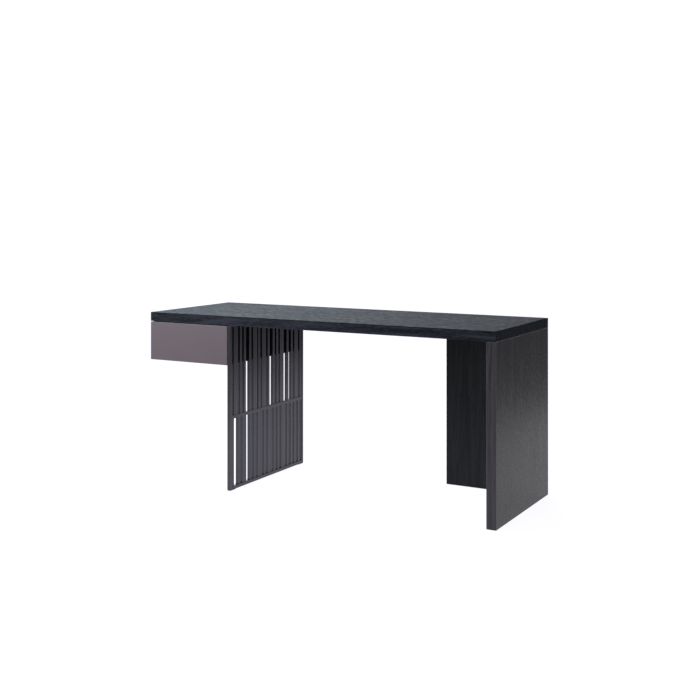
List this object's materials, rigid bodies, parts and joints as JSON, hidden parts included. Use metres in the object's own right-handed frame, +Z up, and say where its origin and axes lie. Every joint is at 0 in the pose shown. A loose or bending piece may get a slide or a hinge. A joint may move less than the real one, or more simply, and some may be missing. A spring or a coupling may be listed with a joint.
{
  "type": "console table",
  "caption": "Rectangular stained oak console table for writing at, with a panel leg that turns a corner, a slatted steel leg and a handleless drawer hung under the overhang.",
  "frame": {"origin": "on the floor, under the middle of the top", "axes": "+X to the right as seen from the front (towards the panel leg), +Y to the back, +Z up"},
  "size_m": [1.65, 0.6, 0.75],
  "materials": {
    "stained_oak": "black-blue stained oak veneer, open grain, matt lacquer",
    "coated_steel": "dark grey powder coat, satin",
    "taupe_lacquer": "mauve-taupe lacquer on board, satin",
    "black_laminate": "black laminate on board, matt",
    "grey_laminate": "warm grey textured laminate on board",
    "zinc": "zinc plated rolled steel",
    "nylon": "black nylon"
  },
  "bodies": {
    "table": {"top": "stained_oak", "end_panel": "stained_oak", "return_panel": "stained_oak", "leg_front_upright": "coated_steel", "leg_rear_upright": "coated_steel", "leg_bottom_rail": "coated_steel", "leg_mid_rail": "coated_steel", "leg_top_bar": "coated_steel", "upper_slat_01": "coated_steel", "upper_slat_02": "coated_steel", "upper_slat_03": "coated_steel", "upper_slat_04": "coated_steel", "upper_slat_05": "coated_steel", "upper_slat_06": "coated_steel", "upper_slat_07": "coated_steel", "upper_slat_08": "coated_steel", "upper_slat_09": "coated_steel", "upper_slat_10": "coated_steel", "upper_slat_11": "coated_steel", "upper_slat_12": "coated_steel", "upper_slat_13": "coated_steel", "upper_slat_14": "coated_steel", "upper_slat_15": "coated_steel", "lower_slat_01": "coated_steel", "lower_slat_02": "coated_steel", "lower_slat_03": "coated_steel", "lower_slat_04": "coated_steel", "lower_slat_05": "coated_steel", "lower_slat_06": "coated_steel", "lower_slat_07": "coated_steel", "lower_slat_08": "coated_steel", "lower_slat_09": "coated_steel", "lower_slat_10": "coated_steel", "lower_slat_11": "coated_steel", "lower_slat_12": "coated_steel", "lower_slat_13": "coated_steel", "lower_slat_14": "coated_steel", "lower_slat_15": "coated_steel", "case_side_left": "black_laminate", "case_side_right": "black_laminate", "case_back": "black_laminate", "case_floor": "black_laminate", "case_cleat_left": "black_laminate", "case_cleat_right": "black_laminate", "runner_left_case_member": "zinc", "runner_right_case_member": "zinc", "leg_glide_front": "nylon", "leg_glide_rear": "nylon", "end_panel_glide_front": "nylon", "end_panel_glide_rear": "nylon", "return_panel_glide": "nylon"},
    "drawer": {"drawer_front": "taupe_lacquer", "drawer_side_left": "grey_laminate", "drawer_side_right": "grey_laminate", "drawer_back": "grey_laminate", "drawer_floor": "grey_laminate", "runner_left_box_member": "zinc", "runner_right_box_member": "zinc"},
    "runner_middle_left": {"runner_left_middle_member": "zinc"},
    "runner_middle_right": {"runner_right_middle_member": "zinc"}
  },
  "joints": [
    {"name": "drawer_slide", "type": "slide", "parent": "table", "child": "drawer", "axis": [0, -1, 0], "range_m": [0, 0.45]},
    {"name": "runner_middle_left_slide", "type": "slide", "parent": "table", "child": "runner_middle_left", "axis": [0, -1, 0], "range_m": [0, 0.225]},
    {"name": "runner_middle_right_slide", "type": "slide", "parent": "table", "child": "runner_middle_right", "axis": [0, -1, 0], "range_m": [0, 0.225]}
  ],
  "couplings": [
    {"joint": "runner_middle_left_slide", "follows": "drawer_slide", "ratio": 0.5},
    {"joint": "runner_middle_right_slide", "follows": "drawer_slide", "ratio": 0.5}
  ]
}
